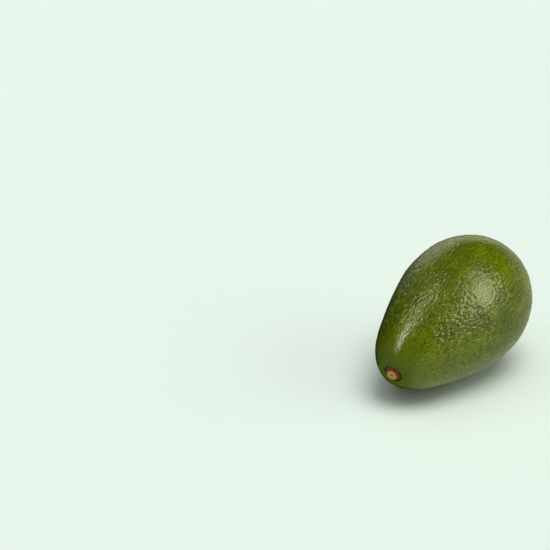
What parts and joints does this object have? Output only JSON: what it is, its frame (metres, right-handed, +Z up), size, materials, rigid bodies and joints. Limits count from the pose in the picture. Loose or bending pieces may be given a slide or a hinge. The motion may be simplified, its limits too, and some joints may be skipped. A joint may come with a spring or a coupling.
{
  "type": "avocado",
  "caption": "Whole green avocado lying on its side, egg-shaped with leathery pebbled skin and a woody stem button in its tapered end.",
  "frame": {"origin": "middle of the small flat spot that the fruit rests on", "axes": "+Z up from the surface it rests on, +X along the fruit towards its stem end"},
  "size_m": [0.1098, 0.0707, 0.0709],
  "materials": {
    "skin": "semi-gloss green fruit skin, fine leathery pebbles, tiny pale specks, smooth and paler round the stem",
    "stem_wood": "dry matt brown stalk with a paler cut end"
  },
  "bodies": {
    "root": {"fruit": "skin", "stem_button": "stem_wood"}
  },
  "joints": []
}
